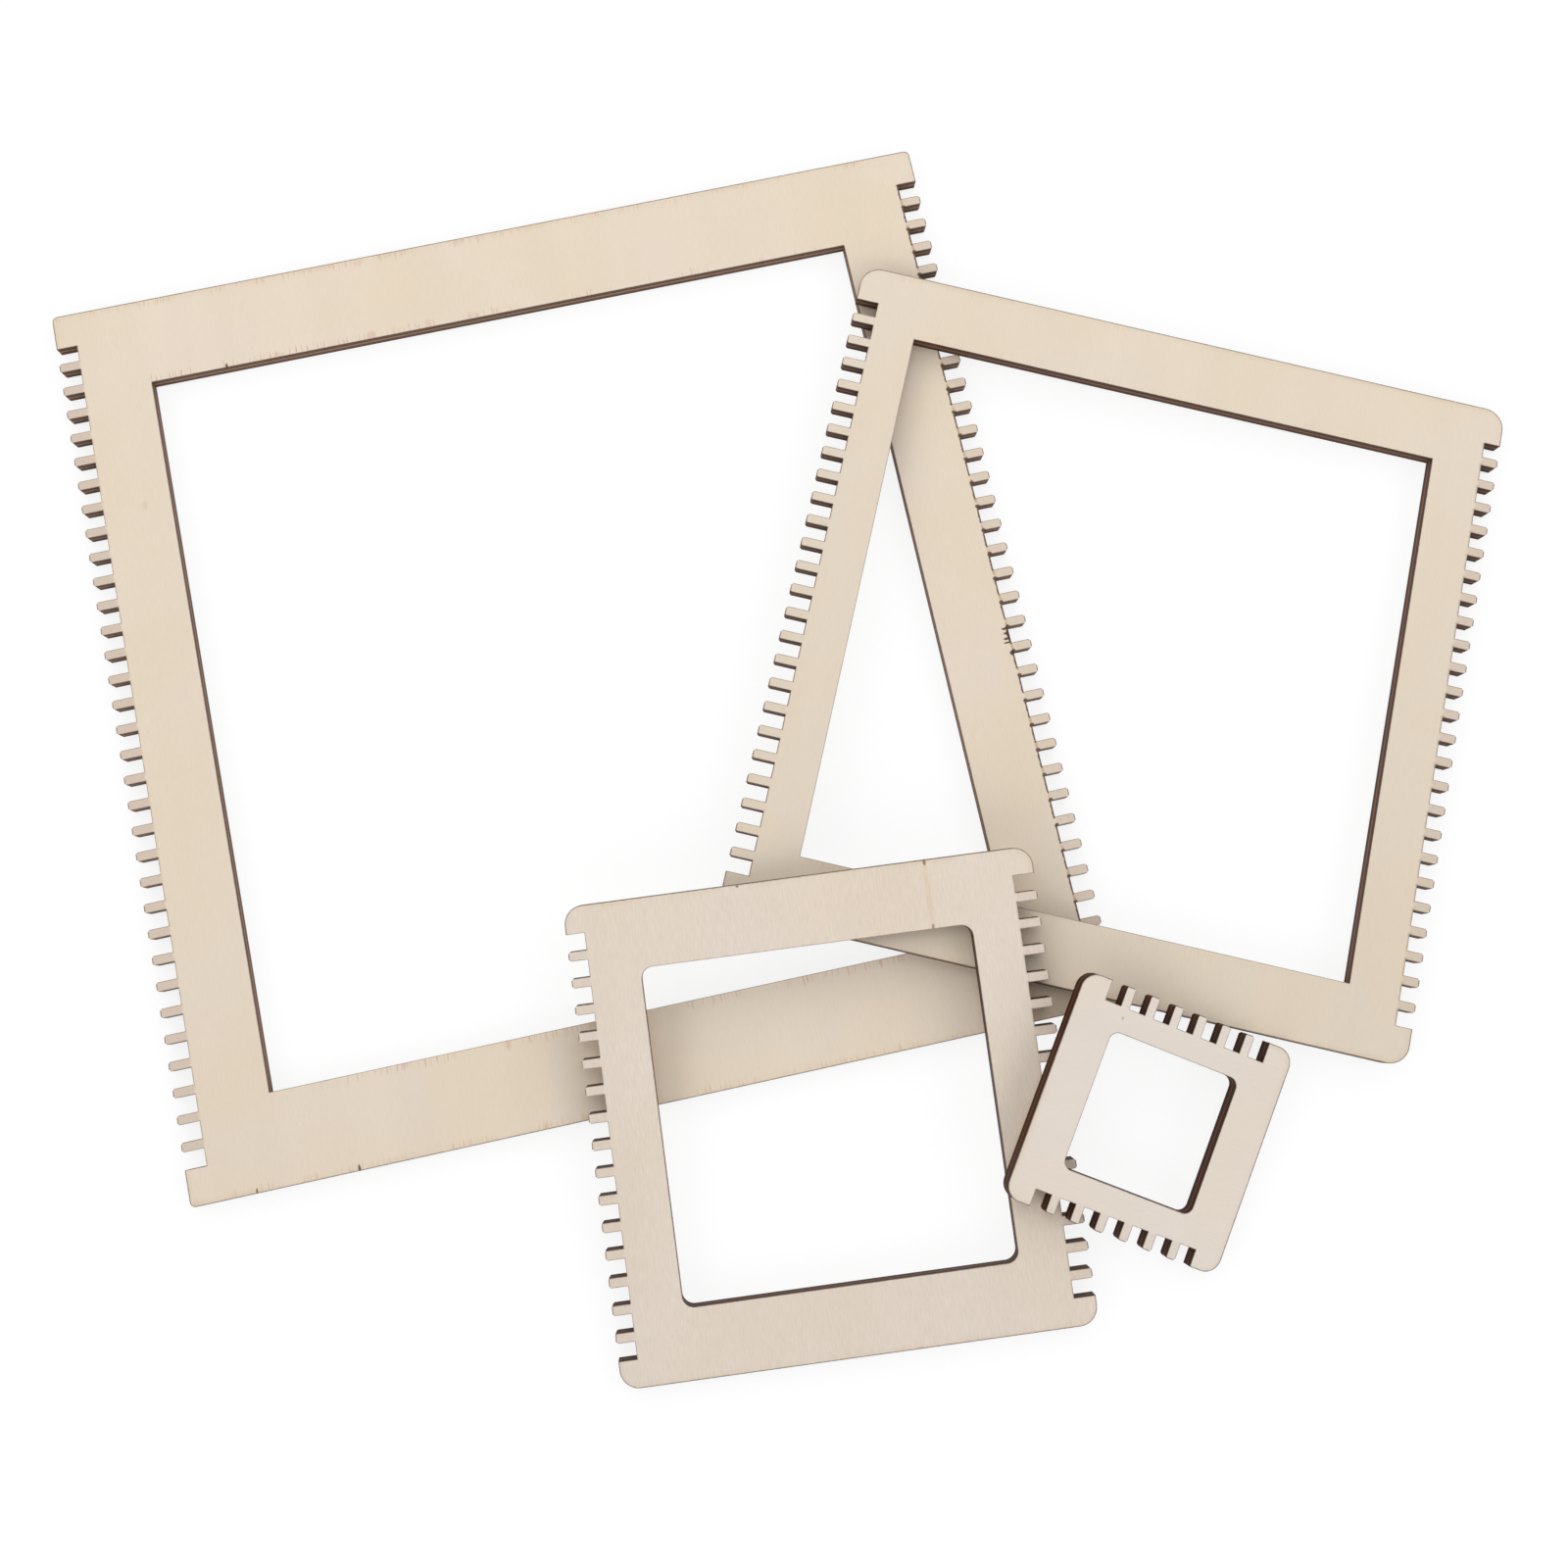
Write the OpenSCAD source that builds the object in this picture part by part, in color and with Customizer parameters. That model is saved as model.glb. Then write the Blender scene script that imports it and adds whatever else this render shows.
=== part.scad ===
// A set of four square potholder looms, cut from thin three-ply sheet.
// Each loom is four bars round a square window, with a comb of teeth along its
// left and right sides and plain lugs past the last teeth. The looms lie loose
// in one pile: large on the table, medium over its right bar, small over the
// medium one's front bar, and mini against the medium and the small one.

/* [Sheet] */
// Thickness of the face veneer
face_t = 1.0; // [0.8:0.1:1.2]
// Thickness of the core veneer
core_t = 1.2; // [1.0:0.1:1.4]
// Thickness of the back veneer
back_t = 1.0; // [0.8:0.1:1.2]
// Width of a tooth
tooth_w = 2.0; // [1.8:0.1:2.3]
// Length cut off each corner of a tooth's tip
tip_cut = 0.4; // [0.2:0.1:0.6]

/* [Large loom] */
// Length of each outer side
large_size = 200; // [198:0.5:202]
// Width of each of the four bars
large_bar = 19.8; // [18:0.2:22]
// Teeth along each toothed side
large_teeth = 32; // [30:1:33]
// Spacing of the teeth
large_pitch = 5.65; // [5.55:0.05:5.75]
// Depth of the notches on the left side
large_left = 4.6; // [4:0.1:5.2]
// Depth of the notches on the right side
large_right = 4.3; // [4:0.1:5.2]
// Radius of the outer corners
large_corner = 1.2; // [0.8:0.1:3]

/* [Medium loom] */
// Length of each outer side
medium_size = 149.4; // [148:0.1:150]
// Width of each of the four bars
medium_bar = 14.7; // [14:0.1:16]
// Teeth along each toothed side
medium_teeth = 24; // [22:1:25]
// Spacing of the teeth
medium_pitch = 5.4; // [5.3:0.05:5.5]
// Depth of the notches on the left side
medium_left = 5.0; // [4:0.1:5.5]
// Depth of the notches on the right side
medium_right = 3.6; // [3.2:0.1:5]
// Radius of the outer corners
medium_corner = 4.5; // [3:0.5:6]

/* [Small loom] */
// Length of each outer side
small_size = 99.2; // [98:0.1:100]
// Width of each of the four bars
small_bar = 14.6; // [14:0.1:15.2]
// Teeth along each toothed side
small_teeth = 15; // [14:1:15]
// Spacing of the teeth
small_pitch = 5.6; // [5.5:0.05:5.7]
// Depth of the notches on the left side
small_left = 3.9; // [3.6:0.1:4.8]
// Depth of the notches on the right side
small_right = 4.5; // [3.6:0.1:4.8]
// Radius of the outer corners
small_corner = 4; // [3:0.5:5]
// Radius of the window's corners
small_window_corner = 2.5; // [1:0.5:4]

/* [Mini loom] */
// Length of each outer side
mini_size = 49.2; // [48.5:0.1:49.8]
// Width of each of the four bars
mini_bar = 9.7; // [9.3:0.1:10]
// Teeth along each toothed side
mini_teeth = 6; // [5:1:6]
// Spacing of the teeth
mini_pitch = 5.6; // [5.4:0.05:5.7]
// Depth of the notches on the left side
mini_left = 3.7; // [3.4:0.1:4.4]
// Depth of the notches on the right side
mini_right = 4.4; // [3.8:0.1:4.8]
// Radius of the outer corners
mini_corner = 3.5; // [3:0.5:4.5]
// Radius of the window's corners
mini_window_corner = 2; // [1:0.5:3]

/* [Pile] */
// Medium loom's centre, to the right of the large one's
medium_x = 119; // [118:0.1:120]
// Medium loom's centre, behind the large one's
medium_y = -26.5; // [-27.5:0.1:-25.5]
// Medium loom's turn about the vertical, in degrees
medium_turn = -25; // [-26:0.1:-24]
// Small loom's centre, to the right of the large one's
small_x = 33.7; // [33:0.1:35]
// Small loom's centre, behind the large one's
small_y = -108.8; // [-110:0.1:-108]
// Small loom's turn about the vertical, in degrees
small_turn = -4.6; // [-5.5:0.1:-4]
// Mini loom's centre, to the right of the large one's
mini_x = 98.1; // [97:0.1:99]
// Mini loom's centre, behind the large one's
mini_y = -124.4; // [-125.5:0.1:-123.5]
// Mini loom's turn about the vertical, in degrees
mini_turn = 56.3; // [55.5:0.1:57.5]

/* [Hidden] */
$fn = 24;

sheet_t = face_t + core_t + back_t;
// Air left where one loom rests on another or on the table
rest_gap = 0.05;
// Times the tilt is worked out again from the tilt before it
passes = 6;
// How far the comb runs on into the two plain bars
comb_lap = 1;

// A loom is [size, bar, teeth, pitch, left depth, right depth, corner, window corner]
large = [large_size, large_bar, large_teeth, large_pitch, large_left, large_right, large_corner, 0];
medium = [medium_size, medium_bar, medium_teeth, medium_pitch, medium_left, medium_right, medium_corner, 0];
small = [
    small_size, small_bar, small_teeth, small_pitch, small_left, small_right,
    small_corner, small_window_corner
];
mini = [
    mini_size, mini_bar, mini_teeth, mini_pitch, mini_left, mini_right,
    mini_corner, mini_window_corner
];
function half(loom) = loom[0] / 2;
function corner(loom) = loom[6];

// Length of a toothed side between its two lugs, with a notch at either end
function toothed(loom) = loom[2] * loom[3] + loom[3] - tooth_w;

// One side of a comb from front to back: each tooth stands on the root line
// and has its two tip corners cut off
function teeth_line(loom, depth) = [
    for (k = [0 : loom[2] - 1])
        let (y = (k - (loom[2] - 1) / 2) * loom[3], tip = half(loom), w = tooth_w / 2)
            each [
                [tip - depth, y - w],
                [tip - tip_cut, y - w],
                [tip, y - w + tip_cut],
                [tip, y + w - tip_cut],
                [tip - tip_cut, y + w],
                [tip - depth, y + w]
            ]
];

// The whole comb, up its right side and down its left
function comb(loom) =
    let (
        end = toothed(loom) / 2 + comb_lap,
        right = half(loom) - loom[5],
        left = loom[4] - half(loom),
        up = teeth_line(loom, loom[5]),
        down = teeth_line(loom, loom[4])
    )
        concat(
            [[right, -end]], up, [[right, end], [left, end]],
            [for (k = [len(down) - 1 : -1 : 0]) [-down[k].x, down[k].y]],
            [[left, -end]]
        );

module rounded_square(size, r) {
    if (r > 0) {
        square([size, size - 2 * r], center = true);
        square([size - 2 * r, size], center = true);
        for (x = [-1, 1], y = [-1, 1])
            translate([x * (size / 2 - r), y * (size / 2 - r)])
                circle(r);
    } else {
        square(size, center = true);
    }
}

// A loom seen from above: two plain bars that end in lugs, the comb between
// them and the window cut through both
module outline(loom) {
    difference() {
        union() {
            difference() {
                rounded_square(loom[0], corner(loom));
                square([loom[0] + 2, toothed(loom)], center = true);
            }
            polygon(comb(loom));
        }
        rounded_square(loom[0] - 2 * loom[1], loom[7]);
    }
}

// A plane is [a, b, c] for z = a x + b y + c
function plane_through(p, q, r) =
    let (n = cross(q - p, r - p))
        [-n.x / n.z, -n.y / n.z, (n * p) / n.z];

function unit(v) = v / norm(v);

// The rigid move that lays a loom's underside on a plane, with its centre at
// a place and its own right turned in plan
function lay(at, turn, plane) =
    let (
        n = unit([-plane.x, -plane.y, 1]),
        ex = unit([cos(turn), sin(turn), plane.x * cos(turn) + plane.y * sin(turn)]),
        ey = cross(n, ex)
    )
        [
            [ex.x, ey.x, n.x, at.x],
            [ex.y, ey.y, n.y, at.y],
            [ex.z, ey.z, n.z, plane.x * at.x + plane.y * at.y + plane.z],
            [0, 0, 0, 1]
        ];

function moved(pose, p) = [for (row = [0 : 2]) pose[row] * [p.x, p.y, p.z, 1]];

// The two ends of a loom's right, front or back side at height z on its sheet
function right_side(loom, pose, z) =
    [for (s = [-1, 1]) moved(pose, [half(loom), s * half(loom), z])];
function front_side(loom, pose, z) =
    [for (s = [-1, 1]) moved(pose, [s * half(loom), -half(loom), z])];
function back_side(loom, pose, z) =
    [for (s = [-1, 1]) moved(pose, [s * half(loom), half(loom), z])];

// The point of an edge where another line crosses it in plan
function meet(edge, line) =
    let (
        e = edge[1] - edge[0],
        d = line[1] - line[0],
        to = line[0] - edge[0],
        s = (to.x * d.y - to.y * d.x) / (e.x * d.y - e.y * d.x)
    )
        edge[0] + s * e;

// The lowest point of a tilted loom's rounded outline
function lowest(loom, pose) =
    let (
        rise = [pose[2][0], pose[2][1]],
        flat = half(loom) - corner(loom),
        down = -corner(loom) * unit(rise)
    )
        moved(pose, [down.x - sign(rise.x) * flat, down.y - sign(rise.y) * flat, 0]);

// The planes on which the three upper looms rest. Each is held by two points
// on the looms below it, most of them where its sides cross an edge, and by
// its own lowest point on the table.
function medium_rest(plane, left) =
    left == 0 ? plane :
    let (
        pose = lay([medium_x, medium_y], medium_turn, plane),
        edge = right_side(large, large_pose, sheet_t),
        p = meet(edge, back_side(medium, pose, 0)),
        q = meet(edge, front_side(medium, pose, 0)),
        foot = lowest(medium, pose)
    )
        medium_rest(plane_through(p, q, [foot.x, foot.y, 0]), left - 1);

function small_rest(plane, left) =
    left == 0 ? plane :
    let (
        pose = lay([small_x, small_y], small_turn, plane),
        edge = front_side(medium, medium_pose, sheet_t),
        p = meet(edge, back_side(small, pose, 0)),
        q = meet(edge, right_side(small, pose, 0)),
        foot = lowest(small, pose)
    )
        small_rest(plane_through(p, q, [foot.x, foot.y, 0]), left - 1);

// The corner of the small loom's fourth tooth that the mini loom's left bar lies on
prop = [half(small), (3 - (small_teeth - 1) / 2) * small_pitch - tooth_w / 2 + tip_cut, sheet_t];
function mini_rest(plane, left) =
    left == 0 ? plane :
    let (
        pose = lay([mini_x, mini_y], mini_turn, plane),
        p = meet(front_side(medium, medium_pose, sheet_t), right_side(mini, pose, 0)),
        q = moved(small_pose, prop),
        foot = lowest(mini, pose)
    )
        mini_rest(plane_through(p, q, [foot.x, foot.y, 0]), left - 1);

lift = [0, 0, rest_gap];
large_pose = lay([0, 0], 0, [0, 0, 0]);
medium_pose = lay([medium_x, medium_y], medium_turn, medium_rest([-0.03, 0, 6], passes) + lift);
small_pose = lay([small_x, small_y], small_turn, small_rest([0.01, 0.09, 14], passes) + lift);
mini_pose = lay([mini_x, mini_y], mini_turn, mini_rest([-0.13, 0.15, 37], passes) + lift);

// How far a laid loom reaches along a direction
function reach(loom, pose, d) =
    let (
        ex = [pose[0][0], pose[1][0], pose[2][0]] * d,
        ey = [pose[0][1], pose[1][1], pose[2][1]] * d,
        n = [pose[0][2], pose[1][2], pose[2][2]] * d,
        at = [pose[0][3], pose[1][3], pose[2][3]] * d,
        flat = half(loom) - corner(loom)
    )
        at + flat * (abs(ex) + abs(ey)) + corner(loom) * norm([ex, ey]) + max(0, n * sheet_t);

laid = [[large, large_pose], [medium, medium_pose], [small, small_pose], [mini, mini_pose]];
function farthest(d) = max([for (l = laid) reach(l[0], l[1], d)]);

// The middle of the pile in plan, which becomes the origin
middle = [
    (farthest([1, 0, 0]) - farthest([-1, 0, 0])) / 2,
    (farthest([0, 1, 0]) - farthest([0, -1, 0])) / 2,
    0
];

// One veneer of a laid loom, from a height on its sheet
module veneer(loom, pose, from, thick) {
    translate(-middle)
        multmatrix(pose)
            translate([0, 0, from])
                linear_extrude(thick)
                    outline(loom);
}
module face_veneer(loom, pose) {
    veneer(loom, pose, back_t + core_t, face_t);
}
module core_veneer(loom, pose) {
    veneer(loom, pose, back_t, core_t);
}
module back_veneer(loom, pose) {
    veneer(loom, pose, 0, back_t);
}

module large_face_ply() {
    color("#E7D9C4") face_veneer(large, large_pose);
}
module large_core_ply() {
    color("#B08A68") core_veneer(large, large_pose);
}
module large_back_ply() {
    color("#DCC9AE") back_veneer(large, large_pose);
}

module medium_face_ply() {
    color("#E6D7C2") face_veneer(medium, medium_pose);
}
module medium_core_ply() {
    color("#B08A68") core_veneer(medium, medium_pose);
}
module medium_back_ply() {
    color("#DCC9AE") back_veneer(medium, medium_pose);
}

module small_face_ply() {
    color("#E3D3BD") face_veneer(small, small_pose);
}
module small_core_ply() {
    color("#B08A68") core_veneer(small, small_pose);
}
module small_back_ply() {
    color("#DCC9AE") back_veneer(small, small_pose);
}

module mini_face_ply() {
    color("#E3D3BD") face_veneer(mini, mini_pose);
}
module mini_core_ply() {
    color("#B08A68") core_veneer(mini, mini_pose);
}
module mini_back_ply() {
    color("#DCC9AE") back_veneer(mini, mini_pose);
}

large_face_ply();
large_core_ply();
large_back_ply();
medium_face_ply();
medium_core_ply();
medium_back_ply();
small_face_ply();
small_core_ply();
small_back_ply();
mini_face_ply();
mini_core_ply();
mini_back_ply();
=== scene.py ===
"""Four laser-cut plywood potholder looms, lying in one loose pile on a white ground.

The CAD solids are the looms' final shapes. This script gives each veneer its wood and burn marks, and adds the
camera, the light and the floor.
"""

import math
from types import SimpleNamespace

import bpy
from mathutils import Matrix, Vector

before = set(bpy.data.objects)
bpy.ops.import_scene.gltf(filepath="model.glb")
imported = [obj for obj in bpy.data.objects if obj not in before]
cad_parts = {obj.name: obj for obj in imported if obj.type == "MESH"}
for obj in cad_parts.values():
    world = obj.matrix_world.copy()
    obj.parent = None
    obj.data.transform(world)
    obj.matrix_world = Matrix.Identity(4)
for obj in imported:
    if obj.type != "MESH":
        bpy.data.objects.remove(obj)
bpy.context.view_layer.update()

# A millimetre, in metres
MM = 0.001

# The sheet, in millimetres: a tooth's width, the core veneer's two sides and the sheet's top, all from its underside
TOOTH = 2.0
BACK_TOP = 1.0
CORE_TOP = 2.2
SHEET = 3.2

# What lies on the wood: a colour, as sRGB of 0 to 255, and how much of it shows
FLECK = ((196, 172, 146), 0.09)
SPOT = ((214, 186, 160), 0.15)
SMOKE = ((206, 187, 172), 1.0)
THICK_SMOKE = ((186, 164, 148), 0.3)
SCORCH = ((178, 138, 86), 1.0)
CHAR = ((72, 50, 38), 0.9)
STAIN = ((206, 182, 148), 0.26)
OUTER_LINE = ((120, 106, 96), 0.9)
INNER_LINE = ((112, 94, 82), 0.7)
OUTER_TICK = ((205, 163, 124), 0.5)
INNER_TICK = ((196, 142, 124), 0.5)
GLUE_SHOWS = 0.8
BURN = (70, 48, 34)

# How far from a cut each of them reaches, in millimetres: where it begins to show, and where it is full
TOOTH_REACH = (0.2, -0.3)
SCORCH_REACH = (0.45, 0.05)
CHAR_REACH = (0.46, 0.24)
CHAR_CORNER_REACH = (0.65, 0.35)
STAIN_REACH = (1.6, 0.0)
OUTER_LINE_REACH = (0.28, 0.10)
INNER_LINE_REACH = (0.20, 0.06)
GLUE_REACH = (0.26, 0.08)
TOP_RIM_REACH = (0.36, 0.10)
BOTTOM_RIM_REACH = (0.40, 0.10)
LONGEST_TICK = 3.6

# A surface is a face where its normal is this near to upright, and a cut wall where it is further off
WALL_UP, FACE_UP = 0.45, 0.7

# Each loom's cut, in millimetres: bar, teeth, pitch, left and right notch depth, outer and window corner
# radius, and turn in degrees. Then its colours as they look in plain light, how much its front end is darker
# than its back end, which is painted shade for light that falls off towards the front, and the strength of its
# grain, of the beam's ticks, of the scorched roots of its teeth and of the smoke on its left and right teeth.
# Marks are small burns and specks: x, y, half width, half length, strength and colour.
LOOMS = {
    "large": dict(
        bar=19.8, teeth=32, pitch=5.65, left=4.6, right=4.3, corner=1.2, window_corner=0.0, turn=0.0,
        face=(234, 219, 201), warm=(232, 216, 194), wall=(117, 91, 75), line=(46, 31, 24), seed=1.0,
        painted_front_shade=0.030, grain=1.4, ticks=1.1, scorch=1.0, smoke=(0.60, 0.35),
        marks=(
            (-64.4, -99.5, 0.35, 0.9, 0.9, (84, 52, 38)),
            (-86.0, -99.5, 0.30, 0.7, 0.8, (98, 64, 46)),
            (-86.1, 51.9, 0.8, 1.3, 0.16, (176, 140, 104)),
            (-63.1, 80.5, 0.35, 0.8, 0.9, (92, 60, 46)),
            (95.4, -16.9, 0.40, 2.0, 0.95, BURN),
            (94.9, -15.4, 0.80, 0.30, 0.95, BURN),
            (95.0, -16.5, 0.65, 0.32, 0.9, (88, 64, 44)),
            (94.9, -17.7, 0.80, 0.34, 0.95, BURN),
            (94.8, -18.6, 0.90, 0.26, 0.95, BURN),
            (95.3, -21.0, 0.65, 0.65, 0.95, BURN),
        ),
    ),
    "medium": dict(
        bar=14.7, teeth=24, pitch=5.4, left=5.0, right=3.6, corner=4.5, window_corner=0.0, turn=-25.0,
        face=(231, 217, 199), warm=(229, 214, 193), wall=(95, 69, 55), line=(32, 20, 14), seed=2.0,
        painted_front_shade=0.045, grain=1.2, ticks=0.3, scorch=0.2, smoke=(0.05, 0.50), marks=(),
    ),
    "small": dict(
        bar=14.6, teeth=15, pitch=5.6, left=3.9, right=4.5, corner=4.0, window_corner=2.5, turn=-4.6,
        face=(230, 217, 203), warm=(228, 213, 196), wall=(80, 58, 46), line=(30, 18, 13), seed=3.0,
        painted_front_shade=0.02, grain=3.4, ticks=0.12, scorch=0.1, smoke=(0.20, 0.30),
        marks=(
            (26.9, 42.2, 0.70, 7.6, 0.24, (208, 184, 134)),
            (26.9, 49.1, 0.36, 0.8, 0.85, (138, 108, 50)),
            (26.9, 35.5, 0.34, 0.7, 0.75, (150, 120, 62)),
            (-12.8, 49.2, 0.4, 0.3, 0.8, (120, 92, 72)),
        ),
    ),
    "mini": dict(
        bar=9.7, teeth=6, pitch=5.6, left=3.7, right=4.4, corner=3.5, window_corner=2.0, turn=56.3,
        face=(233, 222, 211), warm=(232, 220, 206), wall=(70, 42, 27), line=(24, 11, 5), seed=4.0,
        painted_front_shade=0.0, grain=1.2, ticks=0.0, scorch=0.0, smoke=(0.15, 0.0),
        marks=(
            (18.0, 13.7, 0.35, 0.35, 0.45, (150, 128, 122)),
        ),
    ),
}
# Keeps the looms' noise apart
SEED_STEP = 37.0

# The wood's shine and relief. The relief's depth is in metres.
ROUGHNESS = 0.66
SPECULAR = 0.14
RELIEF_STRENGTH = 0.25
RELIEF_DEPTH = 0.00008

# The camera, fitted to the photograph: its place in metres, its turn as a rotation vector, and its lens
CAMERA_PLACE = (-0.043486, -0.051505, 0.362296)
CAMERA_TURN = Vector((0.167229, -0.028703, -0.210802))
SENSOR_WIDTH = 36.0
FOCAL_LENGTH = 38.2242
LENS_SHIFT = (0.032812, -0.039256)
CLIP = (0.01, 20.0)

# The sky's light: a ring, by the heights where it begins and is full from below and from above, over a dim rest
RING_FROM_BELOW = (0.10, 0.35)
RING_FROM_ABOVE = (0.85, 0.50)
RING_LIGHT = 1.65
SKY_LIGHT = 0.12

# The overhead lamp
LAMP_PLACE = (0.0, 0.25, 1.0)
LAMP_WIDTH = 0.8
LAMP_WATTS = 2.0

# The floor, in metres: just under the looms
FLOOR_HALF = 3.0
FLOOR_Z = -0.00005
# How light it is to the looms, how much less of that the camera sees, and its own white that the camera sees
FLOOR_WHITE = 0.78
FLOOR_UNSEEN = 0.58
FLOOR_GLOW = 0.83
FLOOR_ROUGHNESS = 0.9

WHITE = (1.0, 1.0, 1.0, 1.0)


def linear(rgb):
    """An sRGB colour of 0 to 255 as a linear colour."""
    out = []
    for c in rgb:
        c = c / 255
        out.append(c / 12.92 if c <= 0.04045 else ((c + 0.055) / 1.055) ** 2.4)
    return (*out, 1.0)


def feed(slot, value):
    """Connects a Value to a node's input, or sets a plain number on it."""
    if isinstance(value, Value):
        value.tree.links.new(value.socket, slot)
    else:
        slot.default_value = value


class Value:
    """A number on a shader graph. Arithmetic on it adds Math nodes."""

    def __init__(self, tree, socket):
        self.tree, self.socket = tree, socket

    def _math(self, operation, *values):
        node = self.tree.nodes.new("ShaderNodeMath")
        node.operation = operation
        for slot, value in zip(node.inputs, values):
            feed(slot, value)
        return Value(self.tree, node.outputs[0])

    def __add__(self, other):
        return self._math("ADD", self, other)

    __radd__ = __add__

    def __sub__(self, other):
        return self._math("SUBTRACT", self, other)

    def __rsub__(self, other):
        return self._math("SUBTRACT", other, self)

    def __mul__(self, other):
        return self._math("MULTIPLY", self, other)

    def __truediv__(self, other):
        return self._math("DIVIDE", self, other)

    def __abs__(self):
        return self._math("ABSOLUTE", self)

    def least(self, other):
        return self._math("MINIMUM", self, other)

    def most(self, other):
        return self._math("MAXIMUM", self, other)

    def round(self):
        return self._math("ROUND", self)

    def above(self, other):
        return self._math("GREATER_THAN", self, other)

    def length_with(self, other):
        return self._math("SQRT", self * self + other * other)

    def ramp(self, start, end):
        """0 before start, 1 after end, and smooth between them. start may be past end."""
        node = self.tree.nodes.new("ShaderNodeMapRange")
        node.interpolation_type = "SMOOTHSTEP"
        feed(node.inputs["Value"], self)
        node.inputs["From Min"].default_value = min(start, end)
        node.inputs["From Max"].default_value = max(start, end)
        node.inputs["To Min"].default_value = 1.0 if start > end else 0.0
        node.inputs["To Max"].default_value = 0.0 if start > end else 1.0
        return Value(self.tree, node.outputs[0])


class Graph:
    """The nodes of one material, in a loom's own millimetres: x across, y along the grain, z from its underside."""

    # A Mix node has inputs and outputs for each kind of data. These are the two colours and their mixture.
    MIX_FIRST, MIX_SECOND, MIX_RESULT = 6, 7, 2

    def __init__(self, name, place):
        self.material = bpy.data.materials.new(name)
        self.material.use_nodes = True
        self.tree = self.material.node_tree
        self.shader = self.tree.nodes["Principled BSDF"]
        at = self.tree.nodes.new("ShaderNodeTexCoord")
        mapping = self.tree.nodes.new("ShaderNodeMapping")
        mapping.vector_type = "TEXTURE"
        mapping.inputs["Location"].default_value = place.to_translation()
        mapping.inputs["Rotation"].default_value = place.to_euler("XYZ")
        mapping.inputs["Scale"].default_value = (MM, MM, MM)
        self.tree.links.new(at.outputs["Object"], mapping.inputs["Vector"])
        self.x, self.y, self.z = self.split(mapping.outputs["Vector"])
        self.up = abs(self.split(at.outputs["Normal"])[2])

    def split(self, socket):
        node = self.tree.nodes.new("ShaderNodeSeparateXYZ")
        self.tree.links.new(socket, node.inputs[0])
        return [Value(self.tree, part) for part in node.outputs]

    def noise(self, x, y, z, detail=2.0, roughness=0.5):
        """Smooth noise of about 0.5, one bump to each unit of x, y and z."""
        point = self.tree.nodes.new("ShaderNodeCombineXYZ")
        for slot, value in zip(point.inputs, (x, y, z)):
            feed(slot, value)
        node = self.tree.nodes.new("ShaderNodeTexNoise")
        node.inputs["Scale"].default_value = 1.0
        node.inputs["Detail"].default_value = detail
        node.inputs["Roughness"].default_value = roughness
        self.tree.links.new(point.outputs[0], node.inputs["Vector"])
        return Value(self.tree, node.outputs[0])

    def mix(self, share, first, second):
        """first turning into second as share goes from 0 to 1. A colour is a socket or sRGB numbers."""
        node = self.tree.nodes.new("ShaderNodeMix")
        node.data_type = "RGBA"
        feed(node.inputs[0], share)
        for slot, value in ((node.inputs[self.MIX_FIRST], first), (node.inputs[self.MIX_SECOND], second)):
            if isinstance(value, tuple):
                slot.default_value = linear(value)
            else:
                self.tree.links.new(value, slot)
        return node.outputs[self.MIX_RESULT]

    def lay(self, colour, share, coat):
        """colour with a coat over it where share is 1."""
        shade, shows = coat
        return self.mix(share * shows, colour, shade)

    def tint(self, colour, amount):
        """colour made lighter or darker by a value near 1."""
        node = self.tree.nodes.new("ShaderNodeVectorMath")
        node.operation = "SCALE"
        if isinstance(colour, tuple):
            node.inputs[0].default_value = linear(colour)[:3]
        else:
            self.tree.links.new(colour, node.inputs[0])
        feed(node.inputs["Scale"], amount)
        return node.outputs[0]

    def raise_by(self, relief):
        """Gives the surface a fine relief."""
        bump = self.tree.nodes.new("ShaderNodeBump")
        bump.inputs["Strength"].default_value = RELIEF_STRENGTH
        bump.inputs["Distance"].default_value = RELIEF_DEPTH
        feed(bump.inputs["Height"], relief)
        self.tree.links.new(bump.outputs["Normal"], self.shader.inputs["Normal"])


def place_of(name, turn):
    """A loom's own frame and half its side in millimetres, from its veneers. x runs across its toothed bars,
    y along them and z up from its underside."""
    face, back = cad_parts[name + "_face_ply"].data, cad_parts[name + "_back_ply"].data
    n = max(face.polygons, key=lambda p: p.area).normal.copy()
    if n.z < 0:
        n.negate()
    a, b = -n.x / n.z, -n.y / n.z
    c, s = math.cos(math.radians(turn)), math.sin(math.radians(turn))
    ex = Vector((c, s, a * c + b * s)).normalized()
    ey = n.cross(ex)
    turned = Matrix((ex, ey, n))
    points = [turned @ v.co for v in back.vertices]
    low = Vector(min(p[k] for p in points) for k in range(3))
    high = Vector(max(p[k] for p in points) for k in range(3))
    place = turned.transposed().to_4x4()
    place.translation = turned.transposed() @ Vector(((low.x + high.x) / 2, (low.y + high.y) / 2, low.z))
    return place, (high.x - low.x) / 2 / MM


def past_corner(past_x, past_y):
    """How far a point is past a corner, from how far it is past its two sides. Less than 0 inside both."""
    return past_x.most(0.0).length_with(past_y.most(0.0)) + past_x.most(past_y).least(0.0)


def past_square(x, y, half, radius):
    """How far a point is outside a rounded square. Less than 0 inside it."""
    flat = half - radius
    return past_corner(abs(x) - flat, abs(y) - flat) - radius


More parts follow.
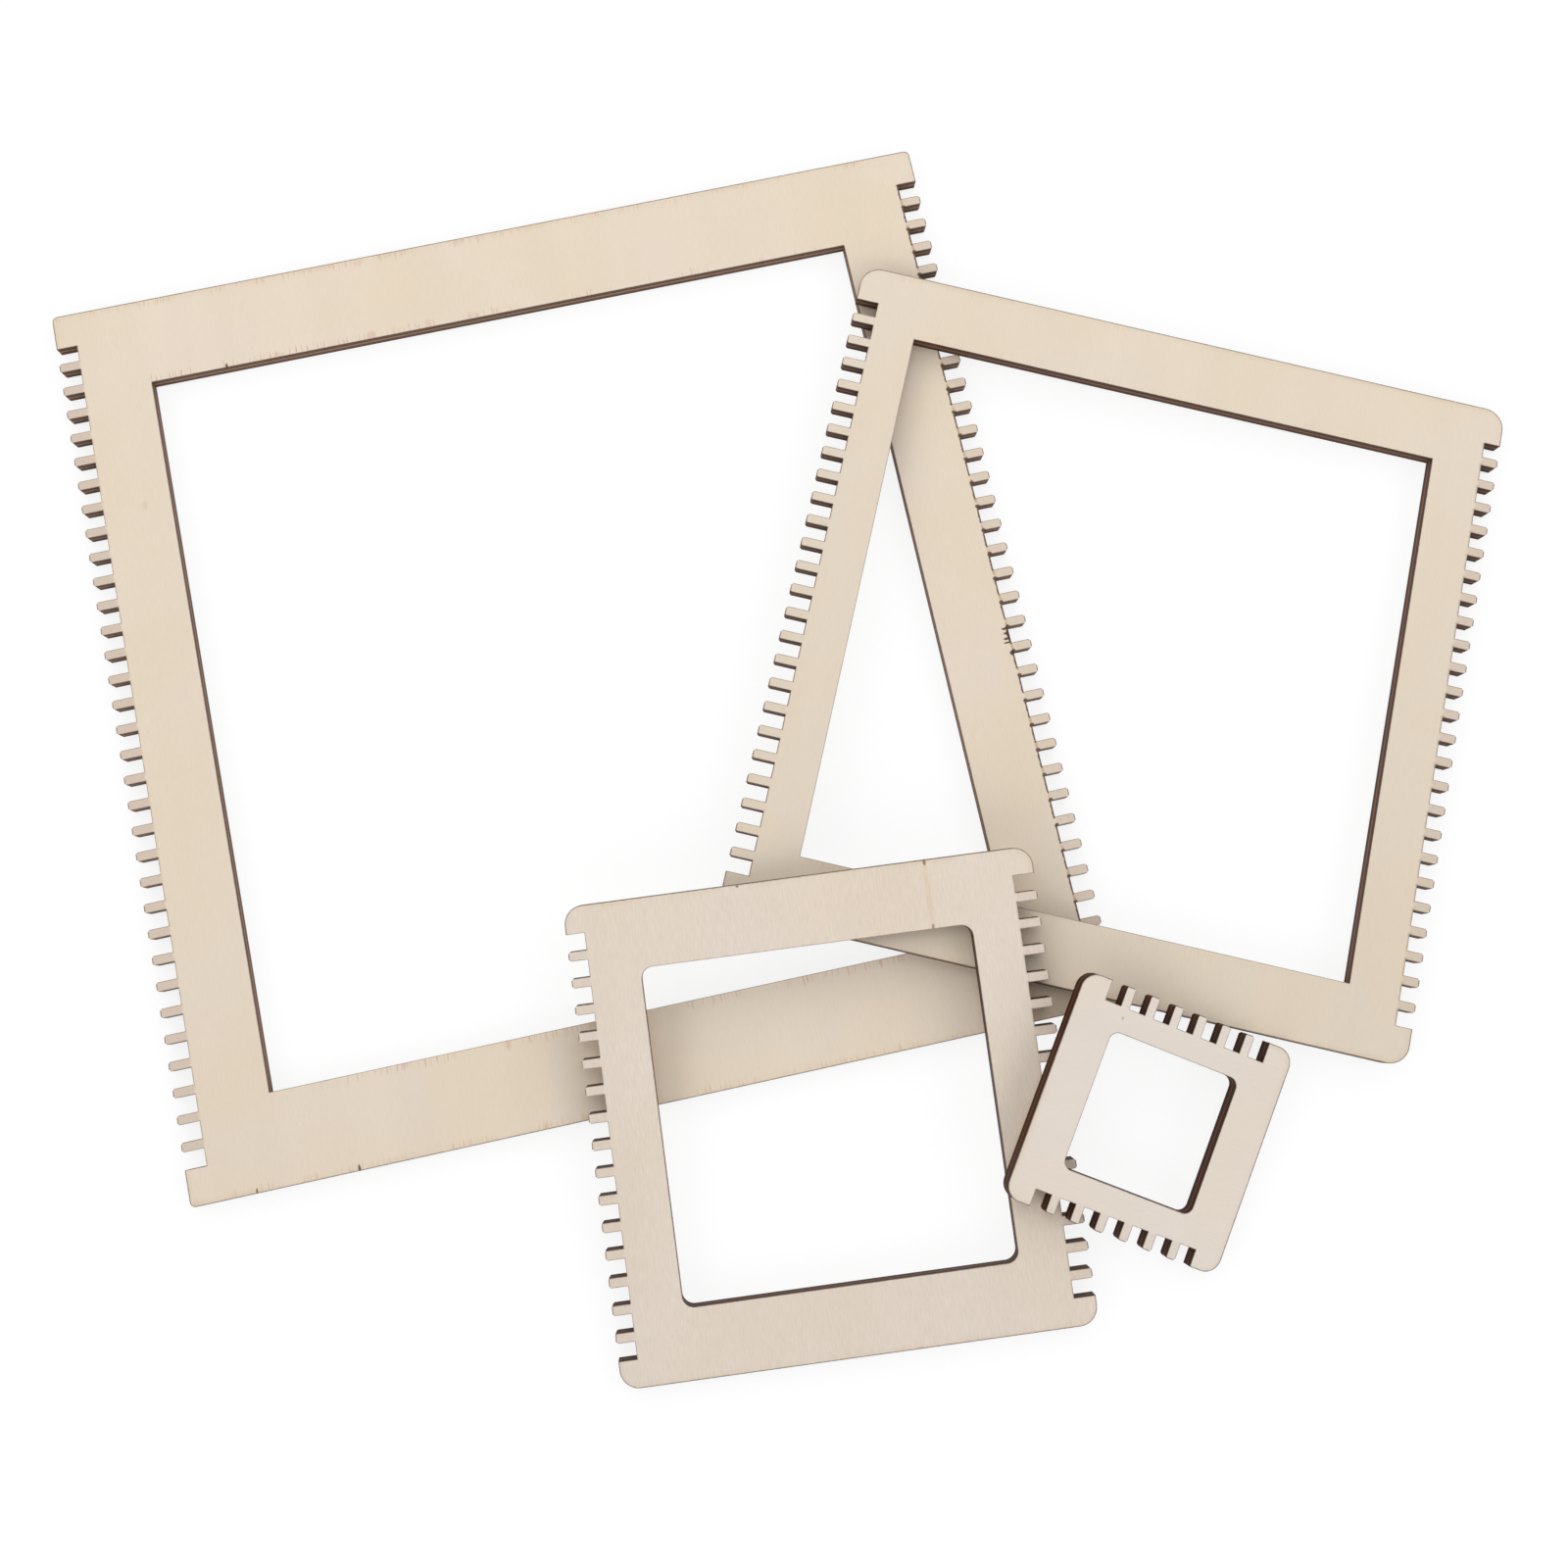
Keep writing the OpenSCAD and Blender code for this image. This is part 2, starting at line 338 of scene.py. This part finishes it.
def cut_lines(g, loom, half):
    """How far a point of the face is from each cut, in millimetres."""
    x, y, pitch = g.x, g.y, loom["pitch"]
    on_right = x.above(0.0)
    root = half - loom["left"] - on_right * (loom["right"] - loom["left"])
    inward = root - abs(x)

    # The nearest notch, counted from the middle of the comb. An odd comb has a tooth there, not a notch.
    shift = 0.0 if loom["teeth"] % 2 == 0 else 0.5
    last = loom["teeth"] / 2
    nearest = ((y / pitch + shift).round() - shift).most(-last).least(last)
    along = y - nearest * pitch
    across = abs(along) - (pitch - TOOTH) / 2
    span = (loom["teeth"] * pitch + pitch - TOOTH) / 2
    between = (span - abs(y)).above(0.0)
    return SimpleNamespace(
        outer=0.0 - past_square(x, y, half, loom["corner"]),
        window=past_square(x, y, half - loom["bar"], loom["window_corner"]),
        notch=past_corner(inward, across),
        inward=inward,
        across=across,
        in_rear_half=along.above(0.0),
        between=between,
        tooth=inward.ramp(*TOOTH_REACH) * between,
        on_right=on_right,
    )


def bare_wood(g, loom, half, seed):
    """The face's colour and relief before any burn: slow bands, fine fibres along y, short flecks and spots, and
    painted shade that darkens it towards its front end.
    """
    x, y = g.x, g.y
    bands = g.noise(x * 0.10 + seed, y * 0.006, seed)
    fibres = g.noise(x * 2.0 + seed, y * 0.10, seed, detail=3.0, roughness=0.6)
    fine = g.noise(x * 3.6, y * 0.38 + seed, seed)
    mottle = g.noise(x * 0.035, y * 0.03 + seed, seed)
    uneven = 0.55 + g.noise(x * 0.05, y * 0.04 + seed, seed + 29.0, detail=1.0) * 0.9
    grain = (fibres - 0.5) * (0.025 * loom["grain"]) + (fine - 0.5) * (0.065 * loom["grain"])
    # The y term is painted shade: the face grows darker towards its front end, standing in for light that falls off
    # there
    light = grain * uneven + (bands - 0.5) * 0.06 + (mottle - 0.5) * 0.04 + (y / half) * loom["painted_front_shade"] + 1.0
    colour = g.tint(g.mix(mottle.ramp(0.35, 0.68), loom["face"], loom["warm"]), light)

    flecks = g.noise(x * 5.0 + seed, y * 0.35, seed + 9.0, detail=1.0).ramp(0.70, 0.80)
    colour = g.lay(colour, flecks * loom["grain"], FLECK)
    spots = g.noise(x * 0.45 + seed, y * 0.45, seed + 3.0, detail=1.0).ramp(0.76, 0.84)
    return g.lay(colour, spots, SPOT), fibres + fine * 0.6


def burnt_comb(g, colour, loom, cut, wave, seed):
    """Smoke on the teeth, a scorched line across each at its root, and charred notches on the right side."""
    left, right = loom["smoke"]
    colour = g.lay(colour, cut.tooth * (left + cut.on_right * (right - left)), SMOKE)
    colour = g.lay(colour, cut.tooth * wave.ramp(0.56, 0.70), THICK_SMOKE)

    broken = g.noise(g.x * 0.2, g.y * 0.5 + seed, seed + 5.0).ramp(0.40, 0.56)
    at_root = abs(cut.inward - 0.1).ramp(*SCORCH_REACH)
    scorch = at_root * broken * cut.between * (0.15 + cut.on_right * 0.5)
    colour = g.lay(colour, scorch * loom["scorch"], SCORCH)

    char = (cut.notch + (wave - 0.5) * 0.7).ramp(*CHAR_REACH) * cut.inward.above(0.0)
    corner = (cut.inward.length_with(cut.across) + (wave - 0.5) * 0.8).ramp(*CHAR_CORNER_REACH) * cut.in_rear_half
    char = char.most(corner) * cut.on_right * cut.between
    return g.lay(colour, char * loom["scorch"], CHAR)


def burnt_edges(g, colour, cut, wave, seed):
    """A smoke stain beside the outer edge, and the thin burnt line on each edge itself."""
    patch = g.noise(g.x * 0.06 + seed, g.y * 0.06, seed + 7.0, detail=3.0, roughness=0.6).ramp(0.40, 0.60)
    stain = cut.outer.ramp(*STAIN_REACH) * (patch * 0.8 + 0.2) * (1.0 - cut.tooth)
    colour = g.lay(colour, stain, STAIN)
    colour = g.lay(colour, (cut.outer + (wave - 0.5) * 0.22).ramp(*OUTER_LINE_REACH), OUTER_LINE)
    inner = cut.window.least(cut.notch) + (wave - 0.5) * 0.16
    return g.lay(colour, inner.ramp(*INNER_LINE_REACH), INNER_LINE)


def beam_ticks(g, colour, loom, half, seed):
    """Short ticks along the grain, in groups, where the beam crossed it along the plain bars' two edges."""
    x, y = g.x, g.y
    tick = g.noise(x * 5.0 + seed, 0.5, seed + 13.0, detail=1.0)
    group = g.noise(x * 0.11 + seed, y * 0.02, seed + 17.0).ramp(0.42, 0.56)
    length = g.noise(x * 2.1 + seed, 1.5, seed + 19.0) * LONGEST_TICK
    window = half - loom["bar"]

    past_rim = half - abs(y)
    outer = tick.ramp(0.53, 0.64) * group * (length - past_rim).ramp(-0.2, 0.9)
    colour = g.lay(colour, outer * loom["ticks"], OUTER_TICK)

    past_sill = abs(y) - window
    beside = (window - abs(x)).ramp(-0.3, 0.3) * past_sill.above(-0.1)
    inner = tick.ramp(0.55, 0.66) * group * (length - past_sill).ramp(-0.2, 0.9) * beside
    return g.lay(colour, inner * loom["ticks"], INNER_TICK)


def cut_wall(g, loom, seed):
    """The burnt wall's colour and relief: streaked by the beam, dark at its rims and glue lines, light in its core."""
    x, y, z = g.x, g.y, g.z
    streak = g.noise(x * 3.0, y * 3.0, z * 0.35 + seed, detail=3.0, roughness=0.6)
    slow = g.noise(x * 0.15, y * 0.15, seed + 23.0)
    rough = (streak - 0.5) * 0.16
    lower_glue = abs(z - BACK_TOP + rough).ramp(*GLUE_REACH)
    upper_glue = abs(z - CORE_TOP + rough).ramp(*GLUE_REACH)
    rims = (SHEET - z + rough).ramp(*TOP_RIM_REACH).most((z + rough).ramp(*BOTTOM_RIM_REACH))
    core = (z - BACK_TOP).ramp(-0.1, 0.1) * (z - CORE_TOP).ramp(0.1, -0.1)
    colour = g.tint(loom["wall"], 0.80 + streak * 0.26 + slow * 0.14)
    colour = g.tint(colour, 0.86 + core * 0.95)
    return g.mix(lower_glue.most(upper_glue).most(rims) * GLUE_SHOWS, colour, loom["line"]), streak


def plywood(name, ply, loom, place, half):
    """Basswood veneer, cut by laser: a pale face with a fine grain, and brown burnt walls that show the plies."""
    g = Graph(f"{name}_{ply}_veneer", place)
    seed = loom["seed"] * SEED_STEP
    cut = cut_lines(g, loom, half)
    wave = g.noise(g.x * 1.1, g.y * 1.1, seed + 11.0, detail=3.0, roughness=0.65)

    colour, fibre_relief = bare_wood(g, loom, half, seed)
    colour = burnt_comb(g, colour, loom, cut, wave, seed)
    colour = burnt_edges(g, colour, cut, wave, seed)
    colour = beam_ticks(g, colour, loom, half, seed)
    for x, y, wide, long, strength, shade in loom["marks"]:
        spot = ((g.x - x) / wide).length_with((g.y - y) / long) + (wave - 0.5) * 0.8
        colour = g.mix(spot.ramp(1.15, 0.5) * strength, colour, shade)

    wall, streak_relief = cut_wall(g, loom, seed)
    on_face = g.up.ramp(WALL_UP, FACE_UP)
    colour = g.mix(on_face, wall, colour)
    g.tree.links.new(colour, g.shader.inputs["Base Color"])
    g.shader.inputs["Roughness"].default_value = ROUGHNESS
    g.shader.inputs["Specular IOR Level"].default_value = SPECULAR
    g.raise_by(fibre_relief * on_face + streak_relief * g.up.ramp(FACE_UP, WALL_UP))
    return g.material


def background(tree):
    """1 for rays that show the background itself, straight, mirrored or through glass, and 0 for the rest."""
    path = tree.nodes.new("ShaderNodeLightPath")
    straight, mirrored, through = (
        Value(tree, path.outputs[f"Is {kind} Ray"]) for kind in ("Camera", "Glossy", "Transmission")
    )
    return straight.most(mirrored).most(through)


def link_object(name, data):
    """A new object in the scene."""
    made = bpy.data.objects.new(name, data)
    bpy.context.scene.collection.objects.link(made)
    return made


for name, loom in LOOMS.items():
    place, half = place_of(name, loom["turn"])
    for ply in ("face", "core", "back"):
        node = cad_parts[f"{name}_{ply}_ply"]
        node.data.materials.clear()
        node.data.materials.append(plywood(name, ply, loom, place, half))

camera = link_object("camera", bpy.data.cameras.new("camera"))
rotation = Matrix.Rotation(CAMERA_TURN.length, 4, CAMERA_TURN.normalized())
camera.matrix_world = Matrix.Translation(CAMERA_PLACE) @ rotation
camera.data.sensor_width = SENSOR_WIDTH
camera.data.lens = FOCAL_LENGTH
camera.data.shift_x, camera.data.shift_y = LENS_SHIFT
camera.data.clip_start, camera.data.clip_end = CLIP
bpy.context.scene.camera = camera

# Plain light: a soft ring of light half way up the sky and one wide lamp overhead. The sky itself looks white.
world = bpy.data.worlds.new("studio")
world.use_nodes = True
tree = world.node_tree
sky = tree.nodes["Background"]
sky.inputs["Color"].default_value = WHITE
toward = tree.nodes.new("ShaderNodeTexCoord")
parts = tree.nodes.new("ShaderNodeSeparateXYZ")
tree.links.new(toward.outputs["Generated"], parts.inputs[0])
height = Value(tree, parts.outputs[2])
ring = height.ramp(*RING_FROM_BELOW) * height.ramp(*RING_FROM_ABOVE)
lighting = ring * RING_LIGHT + SKY_LIGHT
feed(sky.inputs["Strength"], lighting + background(tree) * (1.0 - lighting))
bpy.context.scene.world = world

lamp = link_object("lamp", bpy.data.lights.new("lamp", "AREA"))
lamp.data.shape = "DISK"
lamp.data.size = LAMP_WIDTH
lamp.data.energy = LAMP_WATTS
lamp.location = LAMP_PLACE
lamp.rotation_euler = (-lamp.location).to_track_quat("-Z", "Y").to_euler()

# What the camera sees of the floor is mostly its own white, so that only a faint shadow shows on it
floor_mesh = bpy.data.meshes.new("floor")
corners = ((-1, -1), (1, -1), (1, 1), (-1, 1))
floor_mesh.from_pydata([(x * FLOOR_HALF, y * FLOOR_HALF, FLOOR_Z) for x, y in corners], [], [(0, 1, 2, 3)])
floor = link_object("floor", floor_mesh)
white = bpy.data.materials.new("floor_white")
white.use_nodes = True
shader = white.node_tree.nodes["Principled BSDF"]
shader.inputs["Roughness"].default_value = FLOOR_ROUGHNESS
shader.inputs["Specular IOR Level"].default_value = 0.0
shader.inputs["Emission Color"].default_value = WHITE
seen = background(white.node_tree)
feed(shader.inputs["Base Color"], FLOOR_WHITE - seen * FLOOR_UNSEEN)
feed(shader.inputs["Emission Strength"], seen * FLOOR_GLOW)
floor_mesh.materials.append(white)

view = bpy.context.scene.view_settings
view.view_transform = "Standard"
